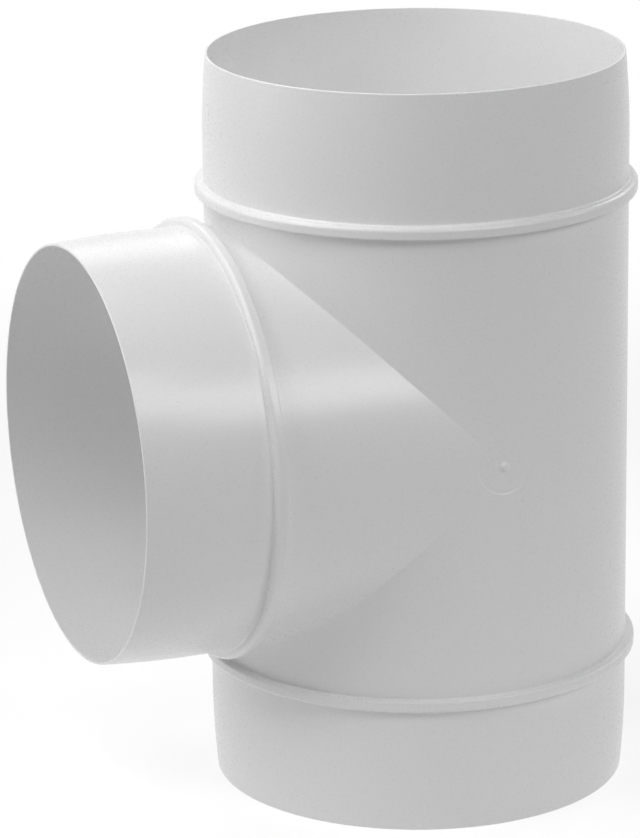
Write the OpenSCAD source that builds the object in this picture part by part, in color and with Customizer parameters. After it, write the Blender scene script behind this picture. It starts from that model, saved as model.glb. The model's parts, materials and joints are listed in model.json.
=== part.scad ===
// Equal duct tee, moulded in one piece from rigid plastic.
// A straight run stands upright and a branch of the same diameter leaves its middle.
// All three ends are plain spigots that push inside a duct, up to a raised stop bead.
// Origin: centre of the bottom mouth, on the axis of the run. The branch points along -X.

/* [Duct] */
// Outside diameter of the body and of the spigots
duct_d = 100; // [75:1:160]
// Thickness of the moulded wall
wall = 1.5; // [1.3:0.1:3]

/* [Lengths] */
// Length of each spigot, from its mouth to the foot of the stop bead
spigot_len = 30; // [22:0.5:60]
// Bare length of the run between the side of the branch and each bead of the run
run_neck = 5; // [4:0.25:60]
// Bare length of the branch between the side of the run and the bead of the branch
branch_neck = 4; // [3.5:0.25:60]

/* [Spigots] */
// Length of the parallel part of a spigot, next to the bead
land_len = 9; // [4:0.5:16]
// Depth by which the crowned lead-in falls away at the mouth
lead_in = 0.95; // [0.3:0.05:1.1]
// Radius that rounds the outer edge of the lip
lip_r = 0.25; // [0.1:0.05:0.4]

/* [Stop beads] */
// Height of a stop bead above the body
bead_out = 2.1; // [1.6:0.1:3]
// Width of a stop bead along its axis
bead_w = 2.75; // [2:0.05:5]
// Radius of the shoulder on the side of the mouth
shoulder_r = 1.1; // [0.3:0.1:1.6]
// Radius of the fillet between a bead and its spigot
bead_fillet_r = 0.4; // [0.2:0.1:0.9]

/* [Gate mark] */
// Diameter of the shallow round recess around the gate
recess_d = 13; // [6:0.5:20]
// Depth of that recess
recess_depth = 0.12; // [0.05:0.01:0.4]
// Diameter of the gate stub at its foot
stub_d = 2.3; // [1.7:0.1:4]
// Diameter of the gate stub where the gate broke off
stub_tip_d = 1.6; // [0.5:0.1:2.2]
// Height of the gate stub above the floor of the recess
stub_h = 0.9; // [0.3:0.1:2]

/* [Hidden] */
// Fineness of the large round surfaces and of the small ones
$fn = 120;
small_fn = 32;
// Number of straight steps in the crowned lead-in, and in each small round edge
crown_steps = 6;
edge_steps = 4;
// How far a cut runs on past a surface that it opens
cut = 1;
body_r = duct_d / 2;
bore_r = body_r - wall;
bead_r = body_r + bead_out;
lip_out_r = body_r - lead_in;
run_reach = body_r + run_neck + bead_w + spigot_len;
branch_reach = body_r + branch_neck + bead_w + spigot_len;
// How far the curved side falls away at the edge of the recess
side_drop = body_r - sqrt(body_r * body_r - recess_d * recess_d / 4);
moulded_white = [0.83, 0.83, 0.83];

// Points of a round edge, turning about a centre [radius, height] from one angle to another
function round_edge(centre, r, from, to) = [
    for (i = [0 : edge_steps])
        let (a = from + (to - from) * i / edge_steps)
        [centre[0] + r * cos(a), centre[1] + r * sin(a)]
];

// Points of the crowned lead-in, which leaves the parallel land without a kink
function crown(from, to) = [
    for (i = [1 : crown_steps])
        let (t = i / crown_steps)
        [body_r - lead_in * t * t, from + (to - from) * t]
];

// Outside of one arm from bead to lip, as points [radius, distance from the crossing]
function arm_section(reach) =
    let (
        foot = reach - spigot_len,
        land_end = foot + land_len,
        lip_start = reach - lip_r
    )
    concat(
        [[body_r, foot - bead_w], [bead_r, foot - bead_w]],
        round_edge([bead_r - shoulder_r, foot - shoulder_r], shoulder_r, 0, 90),
        round_edge([body_r + bead_fillet_r, foot + bead_fillet_r], bead_fillet_r, 270, 180),
        [[body_r, land_end]],
        crown(land_end, lip_start),
        round_edge([lip_out_r - lip_r, lip_start], lip_r, 0, 90)
    );

// The same section turned end for end
function flipped(section) = [
    for (i = [len(section) - 1 : -1 : 0])
        [section[i][0], -section[i][1]]
];

module along_branch() {
    rotate([0, -90, 0]) children();
}

module at_gate() {
    translate([0, -body_r, 0])
        rotate([90, 0, 0])
            children();
}

// The upright run, solid, with a bead and a spigot at both ends
module run_outside() {
    rotate_extrude()
        polygon(concat(
            [[0, -run_reach]],
            flipped(arm_section(run_reach)),
            arm_section(run_reach),
            [[0, run_reach]]
        ));
}

// The branch, solid, from the crossing to its own bead and spigot
module branch_outside() {
    along_branch()
        rotate_extrude()
            polygon(concat(
                [[0, 0], [body_r, 0]],
                arm_section(branch_reach),
                [[0, branch_reach]]
            ));
}

// Pocket cut right through the curved side, which the recess floor then fills again
module gate_pocket() {
    at_gate()
        translate([0, 0, -side_drop - cut])
            cylinder(d = recess_d, h = side_drop + 2 * cut, $fn = small_fn * 2);
}

// Floor of the recess: it follows run and branch just below their outside
module recess_floor() {
    floor_r = body_r - recess_depth;
    drum_reach = recess_d / 2 + cut;
    intersection() {
        union() {
            cylinder(r = floor_r, h = 2 * drum_reach, center = true);
            along_branch()
                cylinder(r = floor_r, h = drum_reach);
        }
        at_gate()
            translate([0, 0, -side_drop - 2 * cut])
                cylinder(d = recess_d + cut, h = side_drop + 3 * cut, $fn = small_fn * 2);
    }
}

// Stub of plastic that stays where the gate broke off
module gate_stub() {
    at_gate()
        translate([0, 0, -recess_depth - cut])
            cylinder(d = stub_d, h = cut, $fn = small_fn);
    at_gate()
        translate([0, 0, -recess_depth])
            cylinder(d1 = stub_d, d2 = stub_tip_d, h = stub_h, $fn = small_fn);
}

// The two passages, which meet at the crossing in the same mitre as the outside.
// The seam of the run's wall is turned to the branch, where the mitre takes most of it away.
module bores() {
    rotate([0, 0, 180])
        cylinder(r = bore_r, h = 2 * (run_reach + cut), center = true);
    along_branch()
        cylinder(r = bore_r, h = branch_reach + cut);
}

module duct_tee() {
    color(moulded_white)
        translate([0, 0, run_reach])
            difference() {
                union() {
                    difference() {
                        union() {
                            run_outside();
                            branch_outside();
                        }
                        gate_pocket();
                    }
                    recess_floor();
                    gate_stub();
                }
                bores();
            }
}

duct_tee();
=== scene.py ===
"""An equal duct tee, moulded in one piece from rigid white plastic, as a studio photograph shows it.

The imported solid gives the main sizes: where the mouths are, and how wide the body, the beads and the
passages are. The shell that is built here keeps that form and adds what the mould gives the real tee: small
radii on the stop beads and lips, a fillet along the mitre that runs out towards its ends, the shallow gate
recess with its broken-off stub, and a satin surface with a very fine grain.
"""

import json
import logging
import math
from dataclasses import dataclass, field
from enum import Enum

import bpy
import numpy as np
from mathutils import Matrix, Vector


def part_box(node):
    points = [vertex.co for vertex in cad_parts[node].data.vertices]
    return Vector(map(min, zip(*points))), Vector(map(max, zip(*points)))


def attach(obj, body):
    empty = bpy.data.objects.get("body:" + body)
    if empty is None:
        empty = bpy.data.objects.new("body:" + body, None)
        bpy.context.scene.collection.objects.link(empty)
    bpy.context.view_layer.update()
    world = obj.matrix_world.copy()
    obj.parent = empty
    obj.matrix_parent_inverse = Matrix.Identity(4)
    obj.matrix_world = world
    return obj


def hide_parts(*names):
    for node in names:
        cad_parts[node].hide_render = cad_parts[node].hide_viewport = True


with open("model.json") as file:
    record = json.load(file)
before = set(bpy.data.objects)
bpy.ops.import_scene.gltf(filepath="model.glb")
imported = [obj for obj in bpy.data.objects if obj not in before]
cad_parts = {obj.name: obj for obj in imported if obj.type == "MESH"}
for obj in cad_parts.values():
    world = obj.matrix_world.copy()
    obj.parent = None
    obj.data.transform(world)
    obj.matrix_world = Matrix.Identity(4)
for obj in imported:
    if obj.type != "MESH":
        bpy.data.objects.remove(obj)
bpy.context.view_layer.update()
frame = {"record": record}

LOG = logging.getLogger("duct_tee")
Array = np.ndarray
MM = 0.001
PHOTO_WIDTH_PX = 640
WHITE = (1.0, 1.0, 1.0, 1.0)
# Keeps a division by nothing away
TINY = 1e-9
# Turns about the gate that differ by less than this, in radians, count as the same
SAME_TURN = 1e-5
TURN_DIGITS = 6
# Places of a mix node's colour sockets, which stand after those for plain numbers
MIX_COLOURS = (6, 7)
MIX_RESULT = 2


def direction(azimuth: float, elevation: float) -> Vector:
    """Gives the direction from the tee to a lamp or to the camera.

    Args:
        azimuth: Angle round the tee in degrees. From 0 the view is along +Y.
        elevation: Angle above the floor in degrees.

    Returns:
        The unit vector.
    """
    turn, rise = math.radians(azimuth), math.radians(elevation)
    return Vector((math.sin(turn) * math.cos(rise), -math.cos(turn) * math.cos(rise), math.sin(rise)))


class Arm(Enum):
    """One of the three arms: the way it points, and the two directions that its angle turns between."""

    UP = ((0, 0, 1), (1, 0, 0), (0, 1, 0))
    DOWN = ((0, 0, -1), (1, 0, 0), (0, 1, 0))
    BRANCH = ((-1, 0, 0), (0, 0, 1), (0, 1, 0))

    @property
    def axis(self) -> Array:
        """Direction from the crossing to the mouth."""
        return np.array(self.value[0], float)

    def radial(self, angles: Array) -> Array:
        """Gives the direction away from the arm's axis at each angle.

        Args:
            angles: Angles round the axis, in radians.

        Returns:
            One unit vector for each angle, in the last axis of the array.
        """
        first, second = (np.array(v, float) for v in self.value[1:])
        return np.cos(angles)[..., None] * first + np.sin(angles)[..., None] * second

    @property
    def turns_left(self) -> bool:
        """Whether a sheet's faces, taken in order of angle and distance, face away from the axis."""
        first, second = (np.array(v, float) for v in self.value[1:])
        return float(np.cross(first, second) @ self.axis) > 0


@dataclass(frozen=True)
class TeeSizes:
    """Main sizes of the tee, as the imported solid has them, and the crossing of its axes. All in metres."""

    crossing: Vector
    body_r: float
    bore_r: float
    bead_r: float
    run_reach: float
    branch_reach: float

    @classmethod
    def from_frame(cls, record: dict) -> "TeeSizes":
        """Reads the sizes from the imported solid's box and the radii of its mounts.

        Args:
            record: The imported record.

        Returns:
            The sizes.
        """
        low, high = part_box("duct_tee")
        radius = {m["name"]: m["dims"].get("r_mm", 0.0) * MM for m in record["mounts"]}
        middle = (low.z + high.z) / 2
        return cls(
            crossing=Vector((0.0, 0.0, middle)),
            body_r=radius["top_spigot"],
            bore_r=radius["run_bore"],
            bead_r=high.y,
            run_reach=high.z - middle,
            branch_reach=-low.x,
        )

    def reach(self, arm: Arm) -> float:
        """Distance from the crossing to the arm's mouth."""
        return self.branch_reach if arm is Arm.BRANCH else self.run_reach


@dataclass
class Section:
    """A line of points in a section, each with the direction that the surface faces there."""

    points: list[tuple[float, float]] = field(default_factory=list)
    facings: list[tuple[float, float]] = field(default_factory=list)

    def point(self, at: tuple[float, float], facing: tuple[float, float]) -> None:
        """Adds one point.

        Args:
            at: The point.
            facing: Direction that the surface faces, of any length.
        """
        length = math.hypot(*facing)
        self.points.append(at)
        self.facings.append((facing[0] / length, facing[1] / length))

    def arc(self, centre: tuple[float, float], radius: float, start: float, end: float,
            steps: int, hollow: bool = False) -> None:
        """Adds the points of an arc.

        Args:
            centre: Centre of the arc.
            radius: Its radius.
            start: Angle of the first point, in degrees.
            end: Angle of the last point, in degrees.
            steps: Number of straight steps.
            hollow: Whether it is a fillet, whose surface faces its centre.
        """
        side = -1.0 if hollow else 1.0
        for angle in np.radians(np.linspace(start, end, steps + 1)):
            across, along = math.cos(angle), math.sin(angle)
            at = (centre[0] + radius * across, centre[1] + radius * along)
            self.point(at, (side * across, side * along))


@dataclass(frozen=True)
class Spigot:
    """Stop bead, parallel land, crowned lead-in and lip of one arm. All sizes in metres."""

    length: float = 30.0 * MM
    bead_w: float = 2.75 * MM
    heel_r: float = 0.25 * MM
    edge_r: float = 0.35 * MM
    shoulder_r: float = 1.1 * MM
    fillet_r: float = 0.4 * MM
    land_len: float = 9.0 * MM
    lead_in: float = 0.95 * MM
    lip_r: float = 0.25 * MM
    inner_lip_r: float = 0.12 * MM
    small_steps: int = 5
    shoulder_steps: int = 8
    crown_steps: int = 14

    def section(self, sizes: TeeSizes, arm: Arm) -> Section:
        """Draws the outside from the heel of the bead over the lip to the edge of the passage.

        Args:
            sizes: Main sizes of the tee.
            arm: The arm.

        Returns:
            Its section, as (radius, distance from the crossing).
        """
        reach, body_r, bead_r = sizes.reach(arm), sizes.body_r, sizes.bead_r
        foot = reach - self.length
        heel = foot - self.bead_w
        line = Section()
        line.arc((body_r + self.heel_r, heel - self.heel_r), self.heel_r, 180, 90, self.small_steps, True)
        line.arc((bead_r - self.edge_r, heel + self.edge_r), self.edge_r, -90, 0, self.small_steps)
        line.arc((bead_r - self.shoulder_r, foot - self.shoulder_r), self.shoulder_r, 0, 90,
                 self.shoulder_steps)
        line.arc((body_r + self.fillet_r, foot + self.fillet_r), self.fillet_r, 270, 180,
                 self.small_steps, True)
        self._lead_in(line, body_r, foot + self.land_len, reach)
        inner = (sizes.bore_r + self.inner_lip_r, reach - self.inner_lip_r)
        line.arc(inner, self.inner_lip_r, 90, 180, self.small_steps)
        return line

    def _lead_in(self, line: Section, body_r: float, start: float, reach: float) -> None:
        """Adds the crowned lead-in, which leaves the land without a kink, and the outer edge of the lip.

        Args:
            line: Section to add to.
            body_r: Radius of the land.
            start: Distance at which the land ends.
            reach: Distance of the mouth.
        """
        run = reach - self.lip_r - start
        slope = math.atan2(2 * self.lead_in, run)
        run += self.lip_r * math.sin(slope)
        for share in np.linspace(0, 1, self.crown_steps + 1):
            at = (body_r - self.lead_in * share ** 2, start + run * share)
            line.point(at, (run, 2 * self.lead_in * share))
        centre = (body_r - self.lead_in - self.lip_r * math.cos(slope), reach - self.lip_r)
        line.arc(centre, self.lip_r, math.degrees(slope), 90, self.small_steps)


@dataclass(frozen=True)
class Mitre:
    """The two equal walls that cross, one round the run and one round the branch.

    They are blended along their mitre. Points are taken from the crossing. The blend gets narrower towards
    the two ends of the mitre, where the walls lie in one line.
    """

    radius: float
    blend: float

    def _walls(self, points: Array) -> tuple[Array, Array, Array, Array, Array]:
        """Measures the points against both walls.

        Args:
            points: Points, in the last axis.

        Returns:
            Distance outside the run and outside the branch, the direction away from each one's axis, and the
            width of the blend.
        """
        x, y, z = np.moveaxis(points, -1, 0)
        nothing = np.zeros_like(x)
        run_r, branch_r = (np.maximum(np.hypot(y, other), TINY) for other in (x, z))
        run_out = np.stack([x / run_r, y / run_r, nothing], -1)
        branch_out = np.stack([nothing, y / branch_r, z / branch_r], -1)
        width = self.blend * (np.minimum(x, 0.0) / self.radius) ** 2 + TINY
        to_branch = np.where(x < 0, branch_r - self.radius, self.radius)
        return run_r - self.radius, to_branch, run_out, branch_out, width

    def distance(self, points: Array) -> tuple[Array, Array]:
        """Gives the distance to the blended wall, and the direction that it faces.

        Args:
            points: Points, in the last axis.

        Returns:
            Distances, and unit vectors.
        """
        run, branch, run_out, branch_out, width = self._walls(points)
        share = np.clip(1 - np.abs(run - branch) / width, 0, 1)
        low = np.minimum(run, branch) - share ** 2 * width / 4
        of_run = np.where(run < branch, 1 - share / 2, share / 2)[..., None]
        facing = of_run * run_out + (1 - of_run) * branch_out
        return low, facing

    def settle(self, points: Array, passes: int = 6) -> tuple[Array, Array]:
        """Moves points onto the blended wall.

        Args:
            points: Points close to the wall, in the last axis.
            passes: How often each point is moved.

        Returns:
            The points on the wall, and the unit vectors that the wall faces there.
        """
        for _ in range(passes):
            gap, facing = self.distance(points)
            squared = np.sum(facing ** 2, -1)
            points = points - (gap / squared)[..., None] * facing
        facing = self.distance(points)[1]
        return points, facing / np.linalg.norm(facing, axis=-1, keepdims=True)

    def seen_from_front(self, x: Array, z: Array) -> tuple[Array, Array]:
        """Finds the wall on the -Y side at places in the plane of the two axes.

        Args:
            x: Places along X.
            z: Places along Z.

        Returns:
            The points, and the unit vectors that the wall faces there.
        """
        nearer = np.where(x < 0, np.minimum(np.abs(x), np.abs(z)), np.abs(x))
        y = -np.sqrt(self.radius ** 2 - nearer ** 2)
        return self.settle(np.stack([x, y, z], -1))


class Skin:
    """Collects sheets of points into one closed mesh, and joins points closer than JOIN, in metres."""

    JOIN = 1e-7

    def __init__(self) -> None:
        """Starts with no points."""
        self._points: list[Array] = []
        self._facings: list[Array] = []
        self._faces: list[tuple[int, ...]] = []
        self._count = 0

    def points(self, points: Array, facings: Array) -> Array:
        """Adds points.

        Args:
            points: Their places, in the last axis.
            facings: The directions that the surface faces there.

        Returns:
            The number of each point, in the shape of the array without its last axis.
        """
        shape = points.shape[:-1]
        numbers = np.arange(self._count, self._count + int(np.prod(shape))).reshape(shape)
        self._points.append(points.reshape(-1, 3))
        self._facings.append(facings.reshape(-1, 3))
        self._count += numbers.size
        return numbers

    def face(self, *corners: int) -> None:
        """Adds one face by the numbers of its corners."""
        self._faces.append(corners)

    def sheet(self, numbers: Array, flip: bool = False) -> None:
        """Adds the faces of a sheet that closes on itself round its second axis.

        Args:
            numbers: Numbers of its points, one row for each line round it.
            flip: Whether the faces turn the other way.
        """
        beside = np.roll(numbers, -1, axis=1)
        quads = np.stack([numbers[:-1], beside[:-1], beside[1:], numbers[1:]], -1).reshape(-1, 4)
        if flip:
            quads = quads[:, ::-1]
        self._faces.extend(tuple(int(n) for n in quad) for quad in quads)

    def mesh(self, name: str, shift: Vector) -> bpy.types.Mesh:
        """Joins the points that meet and makes the mesh.

        Args:
            name: Name of the mesh.
            shift: How far the whole mesh is moved.

        Returns:
            The mesh, smooth, with the facings as its normals.
        """
        places = np.concatenate(self._points)
        keys = np.round(places / self.JOIN).astype(np.int64)
        _, first, same = np.unique(keys, axis=0, return_index=True, return_inverse=True)
        same = same.reshape(-1)
        facings = np.zeros((len(first), 3))
        np.add.at(facings, same, np.concatenate(self._facings))
        facings /= np.linalg.norm(facings, axis=1, keepdims=True)
        faces = [self._without_repeats([int(same[n]) for n in face]) for face in self._faces]
        mesh = bpy.data.meshes.new(name)
        mesh.from_pydata((places[first] + np.array(shift)).tolist(), [], [f for f in faces if len(f) > 2])
        mesh.validate()
        mesh.shade_smooth()
        mesh.normals_split_custom_set_from_vertices(facings.tolist())
        mesh.update()
        return mesh

    @staticmethod
    def _without_repeats(face: list[int]) -> list[int]:
        """Drops corners of a face that have become the same point as the one before them."""
        return [n for at, n in enumerate(face) if n != face[at - 1]]


@dataclass(frozen=True)
class GateMark:
    """Shallow round recess where the plastic was let into the mould, and the stub that broke off there."""

    recess_r: float = 6.5 * MM
    recess_depth: float = 0.12 * MM
    recess_edge_r: float = 0.3 * MM
    patch_r: float = 7.6 * MM
    stub_r: float = 1.15 * MM
    stub_tip_r: float = 0.8 * MM
    stub_h: float = 0.9 * MM
    stub_foot_r: float = 0.2 * MM
    stub_edge_r: float = 0.25 * MM
    spokes: int = 64
    steps: int = 5
    floor_rings: tuple[float, ...] = (0.8, 0.6, 0.42, 0.28)
    tip_rings: tuple[float, ...] = (0.6, 0.25)

    def section(self) -> Section:
        """Draws the mark from the edge of its patch to the middle.

        Returns:
            Its section, as (distance from the middle, height).
        """
        depth, edge = self.recess_depth, self.recess_edge_r
        slope = math.degrees(math.acos(1 - depth / (2 * edge)))
        half = edge * math.sin(math.radians(slope))
        line = Section()
        line.point((self.patch_r, 0.0), (0, 1))
        line.point((self.recess_r + 2 * half, 0.0), (0, 1))
        line.arc((self.recess_r + half, -edge), edge, 90, 90 + slope, self.steps)
        line.arc((self.recess_r - half, edge - depth), edge, 270 + slope, 270, self.steps, True)
        for share in self.floor_rings:
            line.point((self.recess_r * share, -depth), (0, 1))
        self._stub(line)
        return line

    def _stub(self, line: Section) -> None:
        """Adds the stub, from its foot in the recess to its tip.

        Args:
            line: Section to add to.
        """
        floor = -self.recess_depth
        lean = math.atan2(self.stub_r - self.stub_tip_r, self.stub_h)
        foot = (self.stub_r + self.stub_foot_r, floor + self.stub_foot_r)
        line.arc(foot, self.stub_foot_r, 270, 180 + math.degrees(lean), self.steps, True)
        tip = (self.stub_tip_r - self.stub_edge_r, floor + self.stub_h - self.stub_edge_r)
        line.arc(tip, self.stub_edge_r, math.degrees(lean), 90, self.steps)
        for share in self.tip_rings:
            line.point((tip[0] * share, tip[1] + self.stub_edge_r), (0, 1))

    def add_to(self, skin: Skin, wall: Mitre) -> tuple[Array, Array]:
        """Adds the mark to the shell.

        Args:
            skin: The shell.
            wall: Outside wall that carries the mark.

        Returns:
            The numbers of the points of its outermost ring, and their angles about the middle.
        """
        line = self.section()
        angles = 2 * np.pi * np.arange(self.spokes) / self.spokes
        outward = np.stack([np.cos(angles), np.zeros_like(angles), np.sin(angles)], -1)
        rings, facings = [], []
        for (away, height), (across, up) in zip(line.points, line.facings):
            on_wall, wall_facing = wall.seen_from_front(away * np.cos(angles), away * np.sin(angles))
            rings.append(on_wall + height * wall_facing)
            facings.append(across * outward + up * wall_facing)
        numbers = skin.points(np.array(rings), np.array(facings))
        skin.sheet(numbers)
        skin.face(*(int(n) for n in numbers[-1]))
        return numbers[0], angles


@dataclass
class TeeShell:
    """The tee as one closed shell: three arms that meet in a mitre outside and inside, and the gate mark."""

    sizes: TeeSizes
    spigot: Spigot = field(default_factory=Spigot)
    gate: GateMark = field(default_factory=GateMark)
    columns: int = 240
    gate_columns: int = 5
    outer_blend: float = 0.35 * MM
    inner_blend: float = 0.5 * MM
    seam_rows: tuple[float, ...] = (0.0, 0.15, 0.3, 0.45, 0.6, 0.8, 1.0, 1.35)
    least_seam: float = 0.1
    wall_rows: int = 12
    heel_gap: float = 0.4 * MM
    ring_reach: float = 1.2
    ring_slack: float = 0.1

    @property
    def clearing_r(self) -> float:
        """Radius round the gate that the arms keep clear. Their column there starts on the mitre."""
        step = 2 * math.pi / self.columns
        return math.sqrt(2) * self.sizes.body_r * math.sin(self.gate_columns * step)

    def _seam(self, arm: Arm, angles: Array, radius: float, around_gate: bool) -> Array:
        """Finds where each column of an arm starts.

        Args:
            arm: The arm.
            angles: Angle of each column.
            radius: Radius of the wall.
            around_gate: Whether the columns stop at the clearing round the gate.

        Returns:
            Distance of each start from the crossing.
        """
        across = radius * np.cos(angles)
        start = np.abs(across) if arm is Arm.BRANCH else np.maximum(0.0, -across)
        if around_gate:
            clearing = np.sqrt(np.maximum(self.clearing_r ** 2 - across ** 2, 0.0))
            start = np.where(np.sin(angles) < 0, np.maximum(start, clearing), start)
        return start

    def _wall_rows(self, arm: Arm, angles: Array, radius: float, blend: float, end: float,
                   around_gate: bool) -> tuple[Array, Array]:
        """Lays rows of points along a wall, from the mitre to a line round the arm.

        Args:
            arm: The arm.
            angles: Angle of each column.
            radius: Radius of the wall.
            blend: Width of the blend along the mitre.
            end: Distance of the last row from the crossing.
            around_gate: Whether the columns stop at the clearing round the gate.

        Returns:
            The points and the directions that the wall faces there.
        """
        start = self._seam(arm, angles, radius, around_gate)
        across = -np.cos(angles) if arm is not Arm.BRANCH else np.abs(np.cos(angles))
        width = blend * np.maximum(across, self.least_seam)
        near = [start + row * width for row in self.seam_rows]
        last = end - self.heel_gap
        shares = np.linspace(0, 1, self.wall_rows + 1)[1:]
        far = [near[-1] + (last - near[-1]) * share for share in shares]
        distances = np.array(near + far + [np.full_like(start, end)])
        points = radius * arm.radial(angles)[None] + distances[..., None] * arm.axis
        return Mitre(radius, blend).settle(points)

    def _add_arm(self, skin: Skin, arm: Arm) -> Array:
        """Adds one arm, outside and inside, as a sheet from the outer mitre over the lip to the inner one.

        Args:
            skin: The shell.
            arm: The arm.

        Returns:
            Numbers of the points on its outer mitre.
        """
        angles = 2 * np.pi * np.arange(self.columns) / self.columns
        radial = arm.radial(angles)
        line = self.spigot.section(self.sizes, arm)
        outer = self._wall_rows(arm, angles, self.sizes.body_r, self.outer_blend, line.points[0][1], True)
        inner = self._wall_rows(arm, angles, self.sizes.bore_r, self.inner_blend, line.points[-1][1], False)
        rim = np.array([r * radial + a * arm.axis for r, a in line.points[1:-1]])
        rim_facing = np.array([r * radial + a * arm.axis for r, a in line.facings[1:-1]])
        points = np.concatenate([outer[0], rim, inner[0][::-1]])
        facings = np.concatenate([outer[1], rim_facing, -inner[1][::-1]])
        numbers = skin.points(points, facings)
        skin.sheet(numbers, flip=not arm.turns_left)
        return numbers[0]

    def _gate_ring(self, seams: dict[Arm, Array]) -> tuple[Array, Array]:
        """Puts the points on the edge of the clearing round the gate in order.

        Args:
            seams: Numbers of the points on each arm's outer mitre.

        Returns:
            Their numbers and their angles about the gate, from +X over +Z.
        """
        angles = 2 * np.pi * np.arange(self.columns) / self.columns
        step = self.sizes.body_r * math.sin(2 * math.pi / self.columns)
        corner = self.clearing_r * math.sqrt(0.5) + self.ring_slack * step
        found: dict[float, int] = {}
        for arm, numbers in seams.items():
            start = self._seam(arm, angles, self.sizes.body_r, True)
            places = self.sizes.body_r * arm.radial(angles) + start[:, None] * arm.axis
            away = np.hypot(places[:, 0], places[:, 2])
            near = (np.sin(angles) < 0) & (away < self.clearing_r + self.ring_reach * step)
            if arm is Arm.BRANCH:
                near &= np.abs(places[:, 2]) < corner
            else:
                near &= places[:, 0] > -corner
            for place, number in zip(places[near], numbers[near]):
                turn = round(math.atan2(place[2], place[0]) % (2 * math.pi), TURN_DIGITS)
                found.setdefault(turn, int(number))
        turns = sorted(found)
        return np.array([found[t] for t in turns]), np.array(turns)

    def _close_gate(self, skin: Skin, seams: dict[Arm, Array]) -> None:
        """Adds the gate mark, and the ring of triangles between it and the arms.

        Args:
            skin: The shell.
            seams: Numbers of the points on each arm's outer mitre.
        """
        wall = Mitre(self.sizes.body_r, self.outer_blend)
        inside, inside_turns = self.gate.add_to(skin, wall)
        outside, outside_turns = self._gate_ring(seams)
        ways = (len(outside), len(inside))
        turns = (np.append(outside_turns, outside_turns[0] + 2 * np.pi),
                 np.append(inside_turns, inside_turns[0] + 2 * np.pi))
        out_at, in_at = 0, 0
        while out_at < ways[0] or in_at < ways[1]:
            corner_out, corner_in = int(outside[out_at % ways[0]]), int(inside[in_at % ways[1]])
            rest_inside = in_at == ways[1]
            if rest_inside or (out_at < ways[0] and turns[0][out_at + 1] <= turns[1][in_at + 1] + SAME_TURN):
                out_at += 1
                skin.face(corner_out, int(outside[out_at % ways[0]]), corner_in)
            else:
                in_at += 1
                skin.face(corner_out, int(inside[in_at % ways[1]]), corner_in)

    def build(self) -> bpy.types.Object:
        """Builds the shell.

        Returns:
            The object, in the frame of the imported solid.
        """
        skin = Skin()
        seams = {arm: self._add_arm(skin, arm) for arm in Arm}
        self._close_gate(skin, seams)
        shell = bpy.data.objects.new("tee_shell", skin.mesh("tee_shell", self.sizes.crossing))
        bpy.context.scene.collection.objects.link(shell)
        return shell


class GroupMaker:
    """Makes a shader node group with named inputs and outputs, and links nodes in it."""

    def __init__(self, name: str, inputs: dict[str, float], outputs: tuple[str, ...]) -> None:
        """Starts an empty group.

        Args:
            name: Name of the group.
            inputs: Each input's name and its usual value.
            outputs: The outputs' names.
        """
        self.tree = bpy.data.node_groups.new(name, "ShaderNodeTree")
        for label, usual in inputs.items():
            socket = self.tree.interface.new_socket(label, in_out="INPUT", socket_type="NodeSocketFloat")
            socket.default_value = usual
        for label in outputs:
            self.tree.interface.new_socket(label, in_out="OUTPUT", socket_type="NodeSocketFloat")
        self.source = self.tree.nodes.new("NodeGroupInput")
        self.result = self.tree.nodes.new("NodeGroupOutput")

    def node(self, kind: str, **settings: object) -> bpy.types.Node:
        """Adds a node.

        Args:
            kind: Its type.
            **settings: Properties to set on it.

        Returns:
            The node.
        """
        made = self.tree.nodes.new(kind)
        for key, value in settings.items():
            setattr(made, key, value)
        return made

    def link(self, start: bpy.types.NodeSocket, end: bpy.types.NodeSocket) -> None:
        """Links an output to an input."""
        self.tree.links.new(start, end)


def mould_grain() -> bpy.types.NodeTree:
    """Makes the group for the surface that a mould leaves: fine grain, slow waviness, and cloudy tone.

    Returns:
        The group. Its outputs are a height for a bump, and a tone and a gloss value about a half.
    """
    inputs = {"Grain Scale": 2500.0, "Wave Scale": 28.0, "Cloud Scale": 55.0, "Wave Share": 0.5}
    made = GroupMaker("mould_grain", inputs, ("Height", "Tone", "Gloss"))
    place = made.node("ShaderNodeTexCoord")
    noise = {}
    for kind, detail in (("Grain", 3.0), ("Wave", 2.0), ("Cloud", 4.0)):
        texture = made.node("ShaderNodeTexNoise")
        texture.inputs["Detail"].default_value = detail
        made.link(place.outputs["Object"], texture.inputs["Vector"])
        made.link(made.source.outputs[f"{kind} Scale"], texture.inputs["Scale"])
        noise[kind] = texture.outputs["Fac"]
    mix = made.node("ShaderNodeMix", data_type="FLOAT")
    made.link(made.source.outputs["Wave Share"], mix.inputs["Factor"])
    made.link(noise["Grain"], mix.inputs["A"])
    made.link(noise["Wave"], mix.inputs["B"])
    made.link(mix.outputs["Result"], made.result.inputs["Height"])
    made.link(noise["Cloud"], made.result.inputs["Tone"])
    made.link(noise["Grain"], made.result.inputs["Gloss"])
    return made.tree


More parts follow.
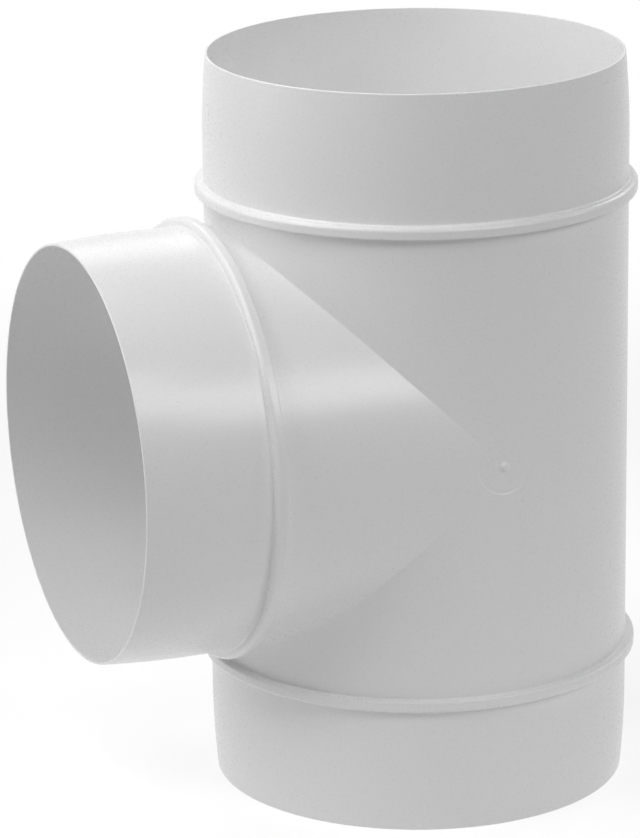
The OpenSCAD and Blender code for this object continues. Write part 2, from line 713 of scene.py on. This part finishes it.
@dataclass(frozen=True)
class MouldedWhite:
    """Satin, rigid white plastic as it comes out of the mould."""

    name: str = "moulded_white"
    shade: float = 0.88
    tone_spread: float = 0.008
    roughness: float = 0.28
    gloss_spread: float = 0.03
    refraction: float = 1.6
    grain_height: float = 0.002 * MM
    grain_strength: float = 0.5

    def material(self) -> bpy.types.Material:
        """Builds the material.

        Returns:
            The material.
        """
        made = bpy.data.materials.new(self.name)
        made.use_nodes = True
        tree = made.node_tree
        shader = tree.nodes["Principled BSDF"]
        shader.inputs["IOR"].default_value = self.refraction
        group = tree.nodes.new("ShaderNodeGroup")
        group.node_tree = mould_grain()
        shade = tree.nodes.new("ShaderNodeMix")
        shade.data_type = "RGBA"
        for socket, step in zip(MIX_COLOURS, (-1, 1)):
            value = self.shade * (1 + step * self.tone_spread)
            shade.inputs[socket].default_value = (value, value, value, 1.0)
        tree.links.new(group.outputs["Tone"], shade.inputs["Factor"])
        tree.links.new(shade.outputs[MIX_RESULT], shader.inputs["Base Color"])
        gloss = tree.nodes.new("ShaderNodeMapRange")
        gloss.inputs["To Min"].default_value = self.roughness - self.gloss_spread
        gloss.inputs["To Max"].default_value = self.roughness + self.gloss_spread
        tree.links.new(group.outputs["Gloss"], gloss.inputs["Value"])
        tree.links.new(gloss.outputs["Result"], shader.inputs["Roughness"])
        bump = tree.nodes.new("ShaderNodeBump")
        bump.inputs["Strength"].default_value = self.grain_strength
        bump.inputs["Distance"].default_value = self.grain_height
        tree.links.new(group.outputs["Height"], bump.inputs["Height"])
        tree.links.new(bump.outputs["Normal"], shader.inputs["Normal"])
        return made


@dataclass(frozen=True)
class SoftBox:
    """A soft rectangular lamp that looks at the tee. Angles in degrees, lengths in metres, watts."""

    name: str
    azimuth: float
    elevation: float
    width: float
    height: float
    power: float
    distance: float = 1.6

    def place(self, target: Vector) -> bpy.types.Object:
        """Puts the lamp in its place.

        Args:
            target: Point that it looks at.

        Returns:
            The lamp.
        """
        light = bpy.data.lights.new(self.name, "AREA")
        light.shape = "RECTANGLE"
        light.size = self.width
        light.size_y = self.height
        light.energy = self.power
        lamp = bpy.data.objects.new(self.name, light)
        away = direction(self.azimuth, self.elevation)
        lamp.location = target + away * self.distance
        lamp.rotation_euler = away.to_track_quat("Z", "Y").to_euler()
        lamp.visible_camera = False
        bpy.context.scene.collection.objects.link(lamp)
        return lamp


def seen_directly(tree: bpy.types.NodeTree) -> bpy.types.NodeSocket:
    """Adds the nodes that tell the rays which show a background from those which carry its light.

    Args:
        tree: Node tree of the floor or of the surroundings.

    Returns:
        An output that is 1 for camera, glossy and transmission rays, and 0 for the others.
    """
    path = tree.nodes.new("ShaderNodeLightPath")
    seen = path.outputs["Is Camera Ray"]
    for kind in ("Is Glossy Ray", "Is Transmission Ray"):
        either = tree.nodes.new("ShaderNodeMath")
        either.operation = "MAXIMUM"
        tree.links.new(seen, either.inputs[0])
        tree.links.new(path.outputs[kind], either.inputs[1])
        seen = either.outputs["Value"]
    return seen


@dataclass(frozen=True)
class PaleFloor:
    """Plain floor that looks white, runs out into the white surroundings and keeps the tee's soft shadow.

    Close to the tee it also gives off a little light of its own, as a light table does, and it throws back
    less of the lamps' light than its pale colour would, so that the underside of the branch keeps its shade.
    """

    size: float = 6.0
    shade: float = 0.9
    bounce: float = 0.4
    glow: float = 0.39
    shadow_share: float = 0.5
    near_r: float = 0.12
    white_r: float = 0.5

    def build(self) -> bpy.types.Object:
        """Lays the floor at the height that the tee stands on.

        Returns:
            The floor.
        """
        half = self.size / 2
        mesh = bpy.data.meshes.new("floor")
        corners = [(-half, -half, 0), (half, -half, 0), (half, half, 0), (-half, half, 0)]
        mesh.from_pydata(corners, [], [(0, 1, 2, 3)])
        mesh.materials.append(self._material())
        floor = bpy.data.objects.new("floor", mesh)
        bpy.context.scene.collection.objects.link(floor)
        return floor

    def _nearness(self, tree: bpy.types.NodeTree) -> bpy.types.NodeSocket:
        """Adds the nodes that fade from 1 near the tee to 0 where the floor is plain white.

        Args:
            tree: Node tree of the floor's material.

        Returns:
            The output that fades.
        """
        place = tree.nodes.new("ShaderNodeTexCoord")
        away = tree.nodes.new("ShaderNodeVectorMath")
        away.operation = "LENGTH"
        tree.links.new(place.outputs["Object"], away.inputs[0])
        fade = tree.nodes.new("ShaderNodeMapRange")
        fade.interpolation_type = "SMOOTHSTEP"
        limits = {"From Min": self.near_r, "From Max": self.white_r, "To Min": 1.0, "To Max": 0.0}
        for label, value in limits.items():
            fade.inputs[label].default_value = value
        tree.links.new(away.outputs["Value"], fade.inputs["Value"])
        return fade.outputs["Result"]

    def _material(self) -> bpy.types.Material:
        """Builds the floor's material, plain white far from the tee and shaded in part near it.

        Returns:
            The material.
        """
        made = bpy.data.materials.new("pale_floor")
        made.use_nodes = True
        tree = made.node_tree
        matt = tree.nodes["Principled BSDF"]
        matt.inputs["Roughness"].default_value = 1.0
        matt.inputs["Specular IOR Level"].default_value = 0.0
        matt.inputs["Emission Color"].default_value = WHITE
        near = self._nearness(tree)
        seen = seen_directly(tree)
        white = tree.nodes.new("ShaderNodeEmission")
        shade = self._math(tree, "MULTIPLY_ADD", seen, self.shade - self.bounce, self.bounce)
        glow = self._math(tree, "MULTIPLY", near, self.glow)
        share = self._math(tree, "MULTIPLY_ADD", near, -self.shadow_share, 1.0)
        whiteness = self._math(tree, "MULTIPLY", share, seen)
        mix = tree.nodes.new("ShaderNodeMixShader")
        tree.links.new(shade, matt.inputs["Base Color"])
        tree.links.new(glow, matt.inputs["Emission Strength"])
        tree.links.new(whiteness, mix.inputs["Fac"])
        tree.links.new(matt.outputs["BSDF"], mix.inputs[1])
        tree.links.new(white.outputs["Emission"], mix.inputs[2])
        tree.links.new(mix.outputs["Shader"], tree.nodes["Material Output"].inputs["Surface"])
        return made

    @staticmethod
    def _math(tree: bpy.types.NodeTree, kind: str,
              *values: float | bpy.types.NodeSocket) -> bpy.types.NodeSocket:
        """Adds a math node.

        Args:
            tree: Node tree to add it to.
            kind: Its operation.
            *values: What goes into its inputs, as numbers or as outputs of other nodes.

        Returns:
            Its output.
        """
        node = tree.nodes.new("ShaderNodeMath")
        node.operation = kind
        for socket, value in zip(node.inputs, values):
            if isinstance(value, bpy.types.NodeSocket):
                tree.links.new(value, socket)
            else:
                socket.default_value = value
        return node.outputs["Value"]


@dataclass(frozen=True)
class Studio:
    """Pale floor, white surroundings and soft lamps."""

    ambient: float = 0.01
    floor: PaleFloor = PaleFloor()
    lamps: tuple[SoftBox, ...] = (
        SoftBox("key_low", 28.0, 28.0, 0.7, 0.28, 2.9),
        SoftBox("key_high", 13.0, 38.0, 0.7, 0.28, 2.8),
        SoftBox("high_front", 5.0, 50.0, 0.3, 0.3, 1.5),
        SoftBox("side_right", 70.0, 28.0, 0.3, 0.3, 2.0),
        SoftBox("low_left", -110.0, 12.0, 0.65, 0.5, 4.0),
        SoftBox("left", -85.0, 32.0, 0.65, 0.6, 4.6),
        SoftBox("high_left", -55.0, 56.0, 0.65, 0.7, 2.1),
        SoftBox("rear", 172.0, 35.0, 0.75, 0.7, 2.0),
        SoftBox("rear_right", 125.0, 32.0, 0.65, 0.6, 3.2),
        SoftBox("near_left", -110.0, 50.0, 0.3, 0.2, 0.35, distance=0.45),
        SoftBox("near_top", -110.0, 70.0, 0.3, 0.2, 0.33, distance=0.45),
    )

    def build(self, target: Vector) -> None:
        """Builds the floor, the surroundings and the lamps.

        Args:
            target: Point that the lamps look at.
        """
        self.floor.build()
        self._surroundings()
        for lamp in self.lamps:
            lamp.place(target)

    def _surroundings(self) -> None:
        """Lights everything evenly, and shows plain white where they are seen."""
        world = bpy.data.worlds.new("surroundings")
        bpy.context.scene.world = world
        world.use_nodes = True
        tree = world.node_tree
        plain = tree.nodes["Background"]
        plain.inputs["Color"].default_value = WHITE
        plain.inputs["Strength"].default_value = self.ambient
        white = tree.nodes.new("ShaderNodeBackground")
        white.inputs["Color"].default_value = WHITE
        mix = tree.nodes.new("ShaderNodeMixShader")
        tree.links.new(seen_directly(tree), mix.inputs["Fac"])
        tree.links.new(plain.outputs["Background"], mix.inputs[1])
        tree.links.new(white.outputs["Background"], mix.inputs[2])
        tree.links.new(mix.outputs["Shader"], tree.nodes["World Output"].inputs["Surface"])


@dataclass(frozen=True)
class Viewpoint:
    """The camera at the photograph's place. Lengths in metres and angles in degrees."""

    azimuth: float = -22.2409
    elevation: float = 16.6745
    roll: float = -0.6777
    distance: float = 1.0396
    aim_right: float = 0.02317
    aim_up: float = -0.00182
    focal_px: float = 4357.0
    sensor_mm: float = 36.0
    nearest: float = 0.05
    farthest: float = 50.0

    def build(self, target: Vector) -> bpy.types.Object:
        """Places the camera and makes it the scene's.

        Args:
            target: Point that it aims at, before the aim is moved to the right and up.

        Returns:
            The camera.
        """
        roll = math.radians(self.roll)
        back = direction(self.azimuth, self.elevation)
        right = (-back).cross(Vector((0, 0, 1))).normalized()
        up = right.cross(-back)
        lens = bpy.data.cameras.new("photo_camera")
        lens.sensor_fit = "HORIZONTAL"
        lens.sensor_width = self.sensor_mm
        lens.lens = self.sensor_mm * self.focal_px / PHOTO_WIDTH_PX
        lens.clip_start = self.nearest
        lens.clip_end = self.farthest
        camera = bpy.data.objects.new("photo_camera", lens)
        rolled_right = math.cos(roll) * right + math.sin(roll) * up
        rolled_up = math.cos(roll) * up - math.sin(roll) * right
        place = target + back * self.distance - right * self.aim_right + up * self.aim_up
        axes = Matrix((rolled_right, rolled_up, back)).transposed().to_4x4()
        camera.matrix_world = Matrix.Translation(place) @ axes
        bpy.context.scene.collection.objects.link(camera)
        bpy.context.scene.camera = camera
        return camera


def main() -> None:
    """Builds the tee, dresses it, and sets the studio round it."""
    logging.basicConfig(level=logging.INFO, format="%(name)s: %(message)s")
    sizes = TeeSizes.from_frame(frame["record"])
    shell = TeeShell(sizes).build()
    shell.data.materials.append(MouldedWhite().material())
    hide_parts("duct_tee")
    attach(shell, "root")
    LOG.info("%s: %d faces", shell.name, len(shell.data.polygons))
    Viewpoint().build(sizes.crossing)
    Studio().build(sizes.crossing)
    bpy.context.scene.view_settings.view_transform = "Standard"


if __name__ == "__main__":
    main()
